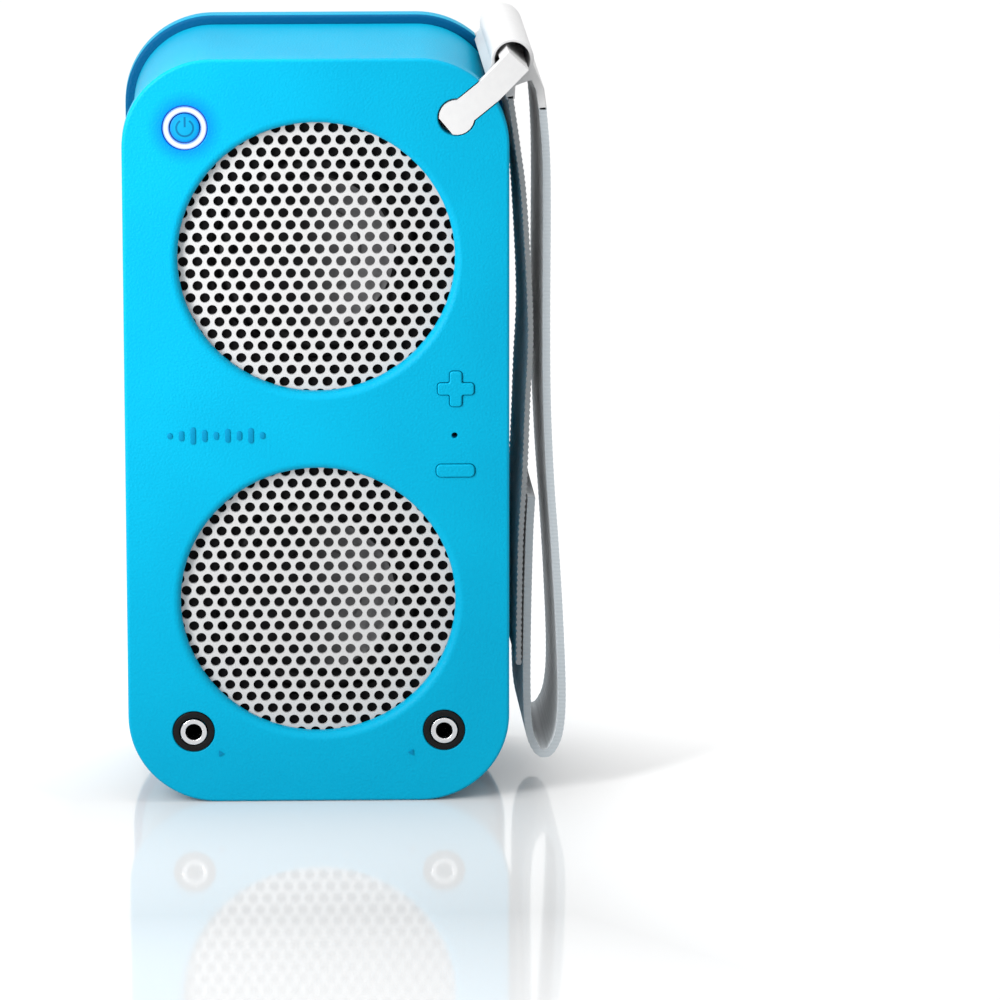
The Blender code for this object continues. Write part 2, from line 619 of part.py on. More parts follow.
def charge_socket(material):
    bm = bmesh.new()
    front = MAIN_BOARD_DEPTH + BOARD_THICKNESS + GAP
    half_width, half_height = CHARGE_SIZE[0] / 2, CHARGE_SIZE[1] / 2
    add_box(bm, (CHARGE_AT[0] - half_width, front, CHARGE_AT[1] - half_height),
            (CHARGE_AT[0] + half_width, BACK - 0.5 * MM, CHARGE_AT[1] + half_height))
    socket = make_object("charge_socket", bm, material)
    bm = bmesh.new()
    rim = 0.4 * MM
    add_box(bm, (CHARGE_AT[0] - half_width + rim, BACK - 5.5 * MM, CHARGE_AT[1] - half_height + rim),
            (CHARGE_AT[0] + half_width - rim, BACK + 2 * MM, CHARGE_AT[1] + half_height - rim))
    combine(socket, "DIFFERENCE", make_cutter("charge_socket_mouth", bm))


# Strap

def link_liner(material):
    turned_piece("link_liner", tube_profile(KEYHOLE_RADIUS, KEYHOLE_RADIUS + 0.9 * MM,
                                            WAIST_FRONT, WAIST_BACK), KEYHOLE_AT, material, 32)


def strap_sides():
    return MIDDLE - STRAP_WIDTH / 2, MIDDLE + STRAP_WIDTH / 2


def lean(depth):
    """How far the strap and its bar have moved towards the case at a depth."""
    return STRAP_LEAN * (depth - strap_sides()[0]) / STRAP_WIDTH


def lean_over(bm):
    for corner in bm.verts:
        corner.co.x -= lean(corner.co.y)


def link_arm_outline(depth):
    """Round end in the keyhole, a straight run in the slot, and a bent end at the pivot."""
    half = LINK_WIDTH / 2
    knee = Vector(along_slot(LINK_KNEE_REACH))
    tip = Vector((PIVOT[0] - lean(depth), PIVOT[1]))
    outwards = (tip - knee).normalized()
    across = Vector((-outwards.y, outwards.x))
    end = tip + outwards * LINK_THICKNESS / 2
    disc = KEYHOLE_RADIUS - GAP
    meet = math.asin(half / disc)
    cut = math.acos(LINK_END_CUT / disc)
    outline = arc_points(KEYHOLE_AT, disc, SLOT_ANGLE + math.pi + cut,
                         SLOT_ANGLE + 2 * math.pi - meet, 6)
    outline += [along_slot(LINK_KNEE_REACH, -half), tuple(end - across * half),
                tuple(end + across * half), along_slot(LINK_KNEE_REACH, half)]
    outline += arc_points(KEYHOLE_AT, disc, SLOT_ANGLE + meet, SLOT_ANGLE + math.pi - cut, 6)
    return outline


def strap_link(material):
    """A flat strip bent into a ring: two arms, one rod in the liner and one in the sleeve."""
    proud = 0.2 * MM
    front_face, back_face = FRONT - proud, BACK + proud
    bm = bmesh.new()
    add_prism(bm, link_arm_outline(front_face), front_face, front_face + LINK_THICKNESS)
    link = make_object("strap_link", bm, material)
    bm = bmesh.new()
    add_prism(bm, link_arm_outline(back_face), back_face - LINK_THICKNESS, back_face)
    combine(link, "UNION", make_cutter("strap_link_back_arm", bm))
    bm = bmesh.new()
    overlap = 1.0 * MM
    knee = Vector(along_slot(LINK_KNEE_REACH))
    tip = Vector(PIVOT)
    outwards = (tip - knee).normalized() * (LINK_THICKNESS / 2 - 0.01 * MM)
    across = Vector((-outwards.y, outwards.x)).normalized() * (LINK_WIDTH / 2 - 0.01 * MM)
    strip = [tip - outwards - across, tip + outwards - across, tip + outwards + across,
             tip - outwards + across]
    add_prism(bm, [tuple(p) for p in strip], front_face + overlap, back_face - overlap)
    lean_over(bm)
    cylinder(bm, along_slot(0.5 * MM), 2.9 * MM, front_face + overlap, back_face - overlap, 20)
    combine(link, "UNION", make_cutter("strap_link_rods", bm))
    return link


def strap_centre():
    return (PIVOT[0] - lean(MIDDLE), MIDDLE, PIVOT[1])


def strap_sleeve(material):
    """A moulded eye round the link, with one leg into each run of the strap."""
    low, high = strap_sides()
    shoulder = arc_points(PIVOT, SLEEVE_RADIUS, math.radians(-14), math.radians(190), 20)
    legs = [(41.4, 182.0), (42.6, 180.6), (45.8, 178.3), (46.4, 176.2), (48.4, 176.2), (48.6, 179.6),
            (50.0, 180.2), (52.4, 181.0), (53.6, 178.4), (54.3, 173.4), (56.3, 173.4),
            (55.6, 178.8)]
    bm = bmesh.new()
    add_prism(bm, shoulder + [(x * MM, z * MM) for x, z in legs], low, high)
    lean_over(bm)
    sleeve = make_object("strap_sleeve", bm, material, strap_centre())
    bm = bmesh.new()
    cylinder(bm, PIVOT, SLEEVE_BORE, low - 2 * MM, high + 2 * MM, 32)
    lean_over(bm)
    combine(sleeve, "DIFFERENCE", make_cutter("strap_sleeve_bore", bm))
    return sleeve


def strap_runs(band_material, webbing_material):
    low, high = strap_sides()
    for name, run, thickness, material in (
            ("strap_band", BAND_RUN, BAND_THICKNESS, band_material),
            ("strap_webbing", WEBBING_RUN, WEBBING_THICKNESS, webbing_material)):
        line = smooth_line([(x * MM, z * MM) for x, z in run], 2)
        bm = bmesh.new()
        add_prism(bm, ribbon_outline(line, thickness), low, high)
        lean_over(bm)
        make_object(name, bm, material, strap_centre())


def build():
    for thing in list(bpy.data.objects):
        bpy.data.objects.remove(thing, do_unlink=True)
    cyan = make_material("cyan_plastic", (0.0, 0.47, 0.80), 0.5)
    white = make_material("white_plastic", (0.83, 0.83, 0.83), 0.35)
    black = make_material("black_plastic", (0.02, 0.02, 0.02), 0.4)
    steel = make_material("steel", (0.6, 0.6, 0.6), 0.35, 1.0)
    chrome = make_material("chrome", (0.8, 0.8, 0.8), 0.1, 1.0)
    grille_steel = make_material("grille_steel", (0.75, 0.75, 0.76), 0.3, 1.0)
    glow = make_material("light_guide", (0.85, 0.9, 1.0), 0.3)
    circuit = make_material("circuit_board", (0.02, 0.18, 0.08), 0.5)
    looks = {
        "basket": make_material("basket_steel", (0.08, 0.08, 0.08), 0.5),
        "surround": make_material("surround_rubber", (0.03, 0.03, 0.03), 0.7),
        "cone": make_material("cone_paper", (0.55, 0.55, 0.55), 0.6),
        "cap": make_material("cap_paper", (0.5, 0.5, 0.5), 0.4),
        "coil": make_material("copper_coil", (0.72, 0.35, 0.15), 0.3, 1.0),
        "spider": make_material("spider_cloth", (0.55, 0.4, 0.15), 0.9),
        "steel": steel,
        "ferrite": make_material("ferrite", (0.05, 0.05, 0.055), 0.6),
    }
    front_cover(cyan)
    waist_shell(cyan)
    back_cover(cyan)
    case_screws(steel)
    grilles(grille_steel)
    power_button(glow, cyan)
    volume_buttons(cyan)
    switches(black)
    boards(circuit)
    microphone(make_material("rubber", (0.03, 0.03, 0.03), 0.8))
    jacks(black, chrome, black)
    for where, height in DRIVER_HEIGHTS.items():
        driver(where, height, looks)
    battery(make_material("battery_wrap", (0.05, 0.12, 0.4), 0.4), black)
    charge_socket(steel)
    link_liner(white)
    strap_link(white)
    strap_sleeve(white)
    strap_runs(make_material("band_fabric", (0.62, 0.64, 0.66), 0.7),
               make_material("webbing_fabric", (0.5, 0.52, 0.54), 0.85))


build()
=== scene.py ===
import math
import bpy
import bmesh
from mathutils import Matrix, Vector


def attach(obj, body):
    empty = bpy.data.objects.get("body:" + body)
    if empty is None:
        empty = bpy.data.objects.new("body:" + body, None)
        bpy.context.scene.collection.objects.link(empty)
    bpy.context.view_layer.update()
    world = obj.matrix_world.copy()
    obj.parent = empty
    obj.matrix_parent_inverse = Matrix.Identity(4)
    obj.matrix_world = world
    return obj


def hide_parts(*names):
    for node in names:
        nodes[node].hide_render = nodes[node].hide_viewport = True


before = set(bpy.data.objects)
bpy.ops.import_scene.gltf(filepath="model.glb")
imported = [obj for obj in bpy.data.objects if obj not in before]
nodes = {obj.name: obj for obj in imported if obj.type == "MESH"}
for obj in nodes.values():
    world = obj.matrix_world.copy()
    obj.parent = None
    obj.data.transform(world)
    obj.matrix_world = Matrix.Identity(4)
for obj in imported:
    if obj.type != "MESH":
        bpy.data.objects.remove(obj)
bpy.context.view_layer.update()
mm = 0.001
print("frame loaded:", len(nodes), "nodes")


class Signal:  # a socket that can take part in sums
    def __init__(self, finish, socket):
        self.finish, self.socket = finish, socket

    def maths(self, operation, *values):
        return self.finish.node("ShaderNodeMath", {"operation": operation},
                                dict(enumerate(values)))

    def __add__(self, other): return self.maths("ADD", self, other)
    def __radd__(self, other): return self.maths("ADD", other, self)
    def __sub__(self, other): return self.maths("SUBTRACT", self, other)
    def __rsub__(self, other): return self.maths("SUBTRACT", other, self)
    def __mul__(self, other): return self.maths("MULTIPLY", self, other)
    def __rmul__(self, other): return self.maths("MULTIPLY", other, self)
    def __pow__(self, other): return self.maths("POWER", self, other)
    def __gt__(self, other): return self.maths("GREATER_THAN", self, other)
    def __lt__(self, other): return self.maths("LESS_THAN", self, other)

    def sine(self): return self.maths("SINE", self)
    def size(self): return self.maths("ABSOLUTE", self)
    def most(self, other): return self.maths("MAXIMUM", self, other)

    def between(self, low, high):  # 0 at low, 1 at high, clamped
        return self.finish.node("ShaderNodeMapRange", {"clamp": True},
                                {0: self, 1: low, 2: high, 3: 0.0, 4: 1.0})


class Finish:
    def __init__(self, name, colour, roughness, **sockets):
        self.material = bpy.data.materials.new(name)
        self.material.use_nodes = True
        self.tree = self.material.node_tree
        self.shader = self.tree.nodes["Principled BSDF"]
        self.material.diffuse_color = (*colour, 1)
        self.colour = (*colour, 1)
        self.feed("Base Color", self.colour)
        self.feed("Roughness", roughness)
        for socket, value in sockets.items():
            self.feed(socket.replace("_", " "), value)

    def node(self, kind, settings, inputs, output=0):
        made = self.tree.nodes.new(kind)
        for setting, value in settings.items():
            if setting == "stops":
                while len(made.color_ramp.elements) < len(value):
                    made.color_ramp.elements.new(0.5)
                for stop, (place, shade) in zip(made.color_ramp.elements, value):
                    stop.position, stop.color = place, shade
            else:
                setattr(made, setting, value)
        for socket, value in inputs.items():
            self.put(made.inputs[socket], value)
        return Signal(self, made.outputs[output])

    def put(self, socket, value):
        if isinstance(value, Signal):
            self.tree.links.new(value.socket, socket)
        else:
            socket.default_value = value

    def feed(self, socket, value):
        self.put(self.shader.inputs[socket], value)

    def place(self, centre=(0, 0, 0), turn=(0, 0, 0), scale=(1, 1, 1), source="Object"):
        start = self.node("ShaderNodeTexCoord", {}, {}, source)
        return self.node("ShaderNodeMapping", {"vector_type": "TEXTURE"},
                         {0: start, 1: centre, 2: turn, 3: scale})

    def axes(self, vector):
        split = self.node("ShaderNodeSeparateXYZ", {}, {0: vector})
        return [Signal(self, socket) for socket in split.socket.node.outputs]

    def noise(self, vector, grain, detail=2.0):  # grain is in millimetres
        return self.node("ShaderNodeTexNoise", {},
                         {"Vector": vector, "Scale": 1 / (grain * mm), "Detail": detail})

    def mix(self, factor, one, other):
        return self.node("ShaderNodeMix", {"data_type": "RGBA"},
                         {0: factor, 6: one, 7: other}, 2)

    def bump(self, height, depth, strength=1.0):  # depth is in millimetres
        self.feed("Normal", self.node("ShaderNodeBump", {}, {
            "Height": height, "Distance": depth * mm, "Strength": strength}))

    def speckle(self, tone, amount, grain, roughness=0.0, depth=0.0):
        spread = self.noise(self.place(), grain)
        base = self.colour
        self.feed("Base Color", self.mix(spread.between(0.3, 0.7) * amount, base, (*tone, 1)))
        if roughness:
            plain = self.shader.inputs["Roughness"].default_value
            self.feed("Roughness", spread * roughness + (plain - roughness / 2))
        if depth:
            self.bump(spread, depth)
        return self


# mesh tools work in millimetres, and the front looks along -Y

def metres(bm):
    bmesh.ops.scale(bm, vec=(mm, mm, mm), verts=bm.verts[:])
    return bm


def standUp(bm, centre, front):  # from the XY plane to a face that looks forwards
    bmesh.ops.rotate(bm, cent=(0, 0, 0), matrix=Matrix.Rotation(math.pi / 2, 3, "X"),
                     verts=bm.verts[:])
    bmesh.ops.translate(bm, vec=(centre[0], front, centre[1]), verts=bm.verts[:])


def thicken(bm, depth):
    made = bmesh.ops.extrude_face_region(bm, geom=bm.faces[:])
    moved = [item for item in made["geom"] if isinstance(item, bmesh.types.BMVert)]
    bmesh.ops.translate(bm, vec=(0, depth, 0), verts=moved)
    bmesh.ops.recalc_face_normals(bm, faces=bm.faces[:])


def roundEdges(bm, width, segments=3, limit=30, choose=None):
    edges = [edge for edge in bm.edges if len(edge.link_faces) == 2
             and edge.calc_face_angle() > math.radians(limit)
             and (choose is None or choose(edge))]
    bmesh.ops.bevel(bm, geom=edges, affect="EDGES", offset=width, offset_type="OFFSET",
                    segments=segments, profile=0.5, material=-1, clamp_overlap=True)
    return bm


def plate(size, corner, front, back, centre=(0, 0), segments=24, turn=0.0):
    bm = bmesh.new()
    bmesh.ops.create_grid(bm, x_segments=1, y_segments=1, size=0.5)
    bmesh.ops.scale(bm, vec=(size[0], size[1], 1), verts=bm.verts[:])
    if corner:
        bmesh.ops.bevel(bm, geom=bm.verts[:], affect="VERTICES", offset=corner,
                        segments=segments, profile=0.5, material=-1)
    bmesh.ops.rotate(bm, cent=(0, 0, 0), matrix=Matrix.Rotation(turn, 3, "Z"), verts=bm.verts[:])
    standUp(bm, centre, front)
    thicken(bm, back - front)
    return bm


def cross(across, arm, front, back, centre, corner, inside):
    bm = bmesh.new()
    bmesh.ops.create_grid(bm, x_segments=3, y_segments=3, size=1.5)
    for vert in bm.verts:
        for axis in (0, 1):
            place = vert.co[axis]
            vert.co[axis] = math.copysign(across / 2 if abs(place) > 1 else arm / 2, place)
    ends = [face for face in bm.faces
            if min(abs(face.calc_center_median().x), abs(face.calc_center_median().y)) > arm / 2]
    bmesh.ops.delete(bm, geom=ends, context="FACES")
    bmesh.ops.dissolve_faces(bm, faces=bm.faces[:])
    inner = [v for v in bm.verts if max(abs(v.co.x), abs(v.co.y)) < across / 2 - 0.01]
    outer = [v for v in bm.verts if v not in inner]
    bmesh.ops.bevel(bm, geom=outer, affect="VERTICES", offset=corner, segments=8,
                    profile=0.5, material=-1)
    inner = [v for v in bm.verts if v.is_valid and abs(abs(v.co.x) - arm / 2) < 1e-4
             and abs(abs(v.co.y) - arm / 2) < 1e-4]
    if inside:
        bmesh.ops.bevel(bm, geom=inner, affect="VERTICES", offset=inside, segments=6,
                        profile=0.5, material=-1)
    standUp(bm, centre, front)
    thicken(bm, back - front)
    return bm


def turned(profile, centre, steps=96):  # a closed (radius, depth) outline, spun
    bm = bmesh.new()
    corners = [bm.verts.new((centre[0] + radius, depth, centre[1])) for radius, depth in profile]
    edges = [bm.edges.new(pair) for pair in zip(corners, corners[1:] + corners[:1])
             if max(end.co.x - centre[0] for end in pair) > 1e-6]
    bmesh.ops.spin(bm, geom=corners + edges, cent=(centre[0], 0, centre[1]), axis=(0, 1, 0),
                   angle=2 * math.pi, steps=steps, use_merge=True)
    bmesh.ops.remove_doubles(bm, verts=bm.verts[:], dist=1e-4)
    bmesh.ops.recalc_face_normals(bm, faces=bm.faces[:])
    return bm


def arc(centre, radius, first, last, steps):  # angles in degrees
    turns = [math.radians(first + (last - first) * i / steps) for i in range(steps + 1)]
    return [(centre[0] + radius * math.cos(a), centre[1] + radius * math.sin(a)) for a in turns]


def asObject(bm, name):
    mesh = bpy.data.meshes.new(name)
    bm.to_mesh(mesh)
    bm.free()
    thing = bpy.data.objects.new(name, mesh)
    bpy.context.scene.collection.objects.link(thing)
    return thing


def settle(thing):  # keeps the modified mesh and drops its modifiers
    bpy.context.view_layer.update()
    shape = thing.evaluated_get(bpy.context.evaluated_depsgraph_get())
    mesh = bpy.data.meshes.new_from_object(shape)
    old = thing.data
    thing.modifiers.clear()
    thing.data = mesh
    bpy.data.meshes.remove(old)


def carve(bm, tool, operation="DIFFERENCE"):  # one bmesh cut by, or joined to, another
    thing, cutter = asObject(bm, "blank"), asObject(tool, "tool")
    step = thing.modifiers.new("carve", "BOOLEAN")
    step.operation, step.solver, step.object = operation, "MANIFOLD", cutter
    settle(thing)
    result = bmesh.new()
    result.from_mesh(thing.data)
    for done in (thing, cutter):
        bpy.data.objects.remove(done)
    return result


def cadCopy(name):  # a CAD node's shape, merged, with its flat areas made whole
    bm = bmesh.new()
    bm.from_mesh(nodes[name].data)
    bmesh.ops.scale(bm, vec=(1 / mm, 1 / mm, 1 / mm), verts=bm.verts[:])
    bmesh.ops.remove_doubles(bm, verts=bm.verts[:], dist=1e-3)
    bmesh.ops.dissolve_limit(bm, angle_limit=math.radians(1), verts=bm.verts[:],
                             edges=bm.edges[:])
    return bm


def join(*shapes):
    whole = shapes[0]
    for shape in shapes[1:]:
        mesh = bpy.data.meshes.new("part")
        shape.to_mesh(mesh)
        shape.free()
        whole.from_mesh(mesh)
        bpy.data.meshes.remove(mesh)
    return whole


def finishPiece(bm, name, finish, body="case", stands=(), sharp=35, weigh=True):
    metres(bm)
    piece = asObject(bm, name)
    for material in finish if isinstance(finish, (list, tuple)) else [finish]:
        piece.data.materials.append(material.material)
    piece.data.shade_smooth()
    piece.data.set_sharp_from_angle(angle=math.radians(sharp))
    if weigh:
        step = piece.modifiers.new("flat faces", "WEIGHTED_NORMAL")
        step.keep_sharp, step.weight = True, 100
        settle(piece)
    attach(piece, body)
    if stands:
        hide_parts(*stands)
    return piece


# plain finishes
whitePlastic = Finish("white plastic", (0.48, 0.48, 0.48), 0.4,
                      Specular_IOR_Level=0.3).speckle((0.45, 0.45, 0.455), 0.6, 1.6, 0.06, 0.01)
blackPlastic = Finish("black plastic", (0.003, 0.003, 0.003), 0.45,
                      Specular_IOR_Level=0.12).speckle((0.008, 0.008, 0.009), 0.5, 0.6, 0.1, 0.02)
basketSteel = Finish("basket steel", (0.002, 0.002, 0.002), 0.6, Specular_IOR_Level=0.05).speckle(
    (0.005, 0.005, 0.006), 0.6, 0.9, 0.12, 0.01)
zincSteel = Finish("zinc steel", (0.55, 0.57, 0.6), 0.36, Metallic=1.0).speckle(
    (0.42, 0.43, 0.45), 0.8, 0.8, 0.18, 0.01)
# painted shade: a dark blue standing in for the shading of the case-coloured raised marks
paintedShadeMarkBlue = Finish("mark painted shade blue", (0.0, 0.15, 0.28), 0.5, Specular_IOR_Level=0.06).speckle(
    (0.0, 0.19, 0.34), 0.6, 0.5, 0.1, 0.02)
chrome = Finish("chrome", (0.62, 0.62, 0.63), 0.16, Metallic=1.0).speckle(
    (0.7, 0.71, 0.73), 0.5, 0.5, 0.08)
copper = Finish("copper wire", (0.7, 0.3, 0.13), 0.34, Metallic=1.0)
circuitBoard = Finish("circuit board", (0.01, 0.14, 0.05), 0.38, Coat_Weight=0.3)
rubber = Finish("surround rubber", (0.004, 0.004, 0.005), 0.5, Specular_IOR_Level=0.15)
conePaper = Finish("cone", (0.1, 0.1, 0.105), 0.45, Specular_IOR_Level=0.2)
spiderCloth = Finish("spider cloth", (0.45, 0.27, 0.1), 0.9)
ferrite = Finish("ferrite", (0.03, 0.03, 0.032), 0.62).speckle(
    (0.06, 0.06, 0.065), 0.9, 0.4, 0.2, 0.03)
batteryWrap = Finish("battery wrap", (0.02, 0.16, 0.42), 0.3)
grilleSteel = Finish("grille steel", (0.46, 0.46, 0.465), 0.45, Metallic=0.1)
lightGuide = Finish("light guide", (0.35, 0.38, 0.42), 0.4, Specular_IOR_Level=0.1)
powerBlue = Finish("power button", (0.0, 0.04, 0.5), 0.5, Specular_IOR_Level=0.1)

# moulded skin: a fine orange peel with a slow change of tone under it, and a painted shade band on
# the back flange's face beside the waist
cyan = {"base": (0.0, 0.36, 0.62), "deep": (0.0, 0.245, 0.40, 1), "pale": (0.0, 0.275, 0.435, 1),
        "paintedSeamShade": (0.0, 0.07, 0.17, 1), "paintedShadeAt": 47.35, "paintedShadeHalf": 0.35}
# centre and spread of the painted glow around the light ring
paintedRingGlow = {"centre": (-31.6, 0, 171.1), "inside": 5.2, "reach": 4.4, "colour": (0.0, 0.13, 0.62, 1)}


def mouldedSkin(name):
    made = Finish(name, cyan["base"], 0.42, Specular_IOR_Level=0.06)
    peel = made.noise(made.place(), 0.55, 3.0)
    drift = made.noise(made.place(), 26.0, 1.0)
    tone = made.mix((peel * 0.5 + drift * 0.5).between(0.35, 0.65), cyan["deep"], cyan["pale"])
    made.feed("Roughness", peel * 0.16 + 0.34)
    made.bump(peel, 0.16, 0.9)
    return made, tone


cyanPlastic, tone = mouldedSkin("cyan plastic")
across, depth, up = cyanPlastic.axes(cyanPlastic.place())
# painted shade: a dark blue band painted on the back cover's front-facing flange, along its seam
# with the waist
paintedSeamShade = (depth - cyan["paintedShadeAt"] * mm).size() < cyan["paintedShadeHalf"] * mm
cyanPlastic.feed("Base Color", cyanPlastic.mix(paintedSeamShade, tone, cyan["paintedSeamShade"]))

# painted glow: the front cover's colour is turned blue around the lit ring, standing in for the
# ring's light falling on the plastic
skin, tone = mouldedSkin("front cyan plastic")
sides, depth, up = skin.axes(skin.place(centre=[c * mm for c in paintedRingGlow["centre"]]))
reach = (sides * sides + up * up) ** 0.5
paintedGlowMask = 1 - reach.between(paintedRingGlow["inside"] * mm, (paintedRingGlow["inside"] + paintedRingGlow["reach"]) * mm)
skin.feed("Base Color", skin.mix((paintedGlowMask ** 1.3) * (depth < 1 * mm) * 0.9, tone, paintedRingGlow["colour"]))

# wound wire, printed board, pressed cloth and shrink wrap
sides, depth, up = copper.axes(copper.place())
copper.bump((depth * (2 * math.pi / (0.32 * mm))).sine(), 0.06)
traces = circuitBoard.noise(circuitBoard.place(scale=(1, 1, 0.3)), 2.2, 0.0)
circuitBoard.feed("Base Color", circuitBoard.mix(traces.between(0.48, 0.52),
                                                 (0.008, 0.11, 0.04, 1), (0.02, 0.2, 0.08, 1)))
weave = spiderCloth.node("ShaderNodeTexChecker", {}, {
    "Vector": spiderCloth.place(), "Scale": 1 / (0.5 * mm)}, 1)
spiderCloth.feed("Base Color", spiderCloth.mix(weave, (0.45, 0.27, 0.1, 1), (0.3, 0.17, 0.06, 1)))
spiderCloth.bump(weave, 0.05)
wrinkle = batteryWrap.noise(batteryWrap.place(scale=(3, 1, 1)), 3.0)
batteryWrap.bump(wrinkle, 0.12)
batteryWrap.feed("Roughness", wrinkle * 0.2 + 0.2)

# silver paint on the grilles
grain = grilleSteel.noise(grilleSteel.place(), 0.35, 4.0)
grilleSteel.feed("Base Color", grilleSteel.mix(grain.between(0.3, 0.7), (0.37, 0.37, 0.372, 1),
                                               (0.45, 0.45, 0.45, 1)))
grilleSteel.feed("Roughness", grain * 0.2 + 0.3)
grilleSteel.bump(grain, 0.015)

# pressed paper with a painted highlight on its right side, as lit from the left, and moulded
# rubber of the drivers
pulp = conePaper.noise(conePaper.place(), 0.7, 4.0)
across, depth, up = conePaper.axes(conePaper.place())
# painted highlight: the paper is paler to the right of the driver's middle
paintedLitSide = across.between(-3 * mm, 9 * mm)
paper = conePaper.mix(paintedLitSide, (0.006, 0.006, 0.007, 1), (0.17, 0.17, 0.175, 1))
conePaper.feed("Base Color", conePaper.mix(pulp * 0.5, paper, (0.01, 0.01, 0.011, 1)))
conePaper.bump(pulp, 0.03)
bloom = rubber.noise(rubber.place(), 1.5, 2.0)
rubber.feed("Base Color", rubber.mix(bloom, (0.003, 0.003, 0.003, 1), (0.008, 0.008, 0.009, 1)))

# the glowing ring is white along its middle and blue at its edges
sides, depth, up = lightGuide.axes(lightGuide.place(centre=[c * mm for c in paintedRingGlow["centre"]]))
band = ((sides * sides + up * up) ** 0.5 - 4.6 * mm).size().between(0.25 * mm, 0.8 * mm)
lightGuide.feed("Base Color", lightGuide.mix(band, (0.33, 0.35, 0.37, 1), (0.01, 0.10, 0.36, 1)))
lightGuide.feed("Emission Color", lightGuide.mix(band, (0.9, 0.95, 1, 1), (0.02, 0.2, 1.0, 1)))
lightGuide.feed("Emission Strength", 0.3)

# the power symbol, embossed on the real cap, is painted darker as painted shade; the cap turns
# bluer towards its rim as a painted glow of the lit ring
mark = {"radius": 2.05, "stroke": 0.24, "opening": 0.62, "bar": (0.2, 2.75)}
sides, depth, up = powerBlue.axes(powerBlue.place(centre=[c * mm for c in paintedRingGlow["centre"]]))
reach = (sides * sides + up * up) ** 0.5
onRing = ((reach - mark["radius"] * mm).size() < mark["stroke"] * mm)
opening = (sides.size() < up * mark["opening"])
bar = ((sides.size() < mark["stroke"] * mm) * (up > mark["bar"][0] * mm)
       * (up < mark["bar"][1] * mm))
paintedSymbolShade = (onRing * (1 - opening)).most(bar)
# painted glow: the cap's colour turns bluer towards its rim, next to the lit ring
edge = reach.between(2.4 * mm, 3.6 * mm)
plain = powerBlue.mix(edge, (0.0, 0.21, 0.38, 1), (0.0, 0.15, 0.45, 1))
powerBlue.feed("Base Color", powerBlue.mix(paintedSymbolShade, plain, (0.0, 0.095, 0.21, 1)))
print("finishes made")


# the case and what sits in its front and back
case = {"size": (94, 188), "corner": 22, "middle": 94, "front": -2.25, "rim": 4.5, "depth": 54,
        "panel": 3.0, "edge": 0.8, "recess": 2.2, "wall": 2.2, "gap": 0.3, "lip": 1.6,
        "lipReach": 3.0}
drivers = {"top": 138.2, "bottom": 51.4}
power = {"at": (-31.6, 171.1), "inner": 3.85, "outer": 5.35, "flange": 6.3, "thick": 1.2,
         "gap": 0.3, "stem": 1.5, "stemEnd": 4.4}
plus = {"at": (33.9, 105.4), "across": 8.9, "arm": 3.0, "corner": 0.8, "inside": 0.45}
minus = {"at": (33.8, 84.7), "size": (9.4, 3.2), "corner": 1.2}
pinhole = {"at": (33.6, 93.6), "radius": 0.75}
jacks = {"in": (-30.9, 18.2), "out": (30.9, 18.2)}
jack = {"disc": 5.05, "sleeve": 3.25, "bore": 1.8, "depth": 1.7, "end": 5.0}
keyhole = {"at": (34.2, 173.4), "radius": 4.6, "turn": math.radians(39.5), "slot": 7.1,
           "depth": 3.3, "flare": 0.35}
screws = [(side * 37.5, height) for height in (30, 159.5) for side in (-1, 1)]
charge = {"at": (0.0, 17.0), "size": (7.6, 2.9)}
grille = {"opening": 33.75, "lip": 35.75, "radius": 34.75, "front": 1.05, "thickness": 0.8,
          "pitch": 3.5, "hole": 1.27}
back = case["front"] + case["depth"]


def caseShape(inset, front, behind):
    return plate([side - 2 * inset for side in case["size"]], case["corner"] - inset, front,
                 behind, (0, case["middle"]))


def boxAlong(place, turn, start, end, width, front, behind):  # along a sloping line
    middle = (start + end) / 2
    centre = (place[0] + middle * math.cos(turn), place[1] + middle * math.sin(turn))
    return plate((end - start, width), 0, front, behind, centre, turn=turn)


def hole(radius, face, floor, flare, way=1):  # a round cutter with a softened mouth
    return [(0, face - 3 * way), (radius + flare, face - 3 * way), (radius + flare, face),
            *[(radius + flare * (1 - math.sin(a)), face + way * flare * (1 - math.cos(a)))
              for a in (math.pi / 6, math.pi / 3, math.pi / 2)], (radius, floor), (0, floor)]


def keyholeCuts(shape, face, way):
    shape = carve(shape, turned(hole(keyhole["radius"], face, face + way * 12,
                                     keyhole["flare"], way), keyhole["at"]))
    floor = face + way * keyhole["depth"]
    low, high = sorted((face - 3 * way, floor))
    shape = carve(shape, boxAlong(keyhole["at"], keyhole["turn"], 0, 22, keyhole["slot"],
                                  low, high))
    return shape


def slotBoss(low, high):
    boss = turned([(0, low), (5.8, low), (5.8, high), (0, high)], keyhole["at"], 48)
    arm = boxAlong(keyhole["at"], keyhole["turn"], 0, 7, keyhole["slot"] + 2.4, low, high)
    return boss, arm


def softenMouths(shape, face, places, span, width):
    def atMouth(edge):
        ends = [v.co for v in edge.verts]
        return all(abs(end.y - face) < 1e-3 for end in ends) and any(
            all(abs(end.x - x) < span and abs(end.z - z) < span for end in ends)
            for x, z in places)
    return roundEdges(shape, width, 2, 30, atMouth)


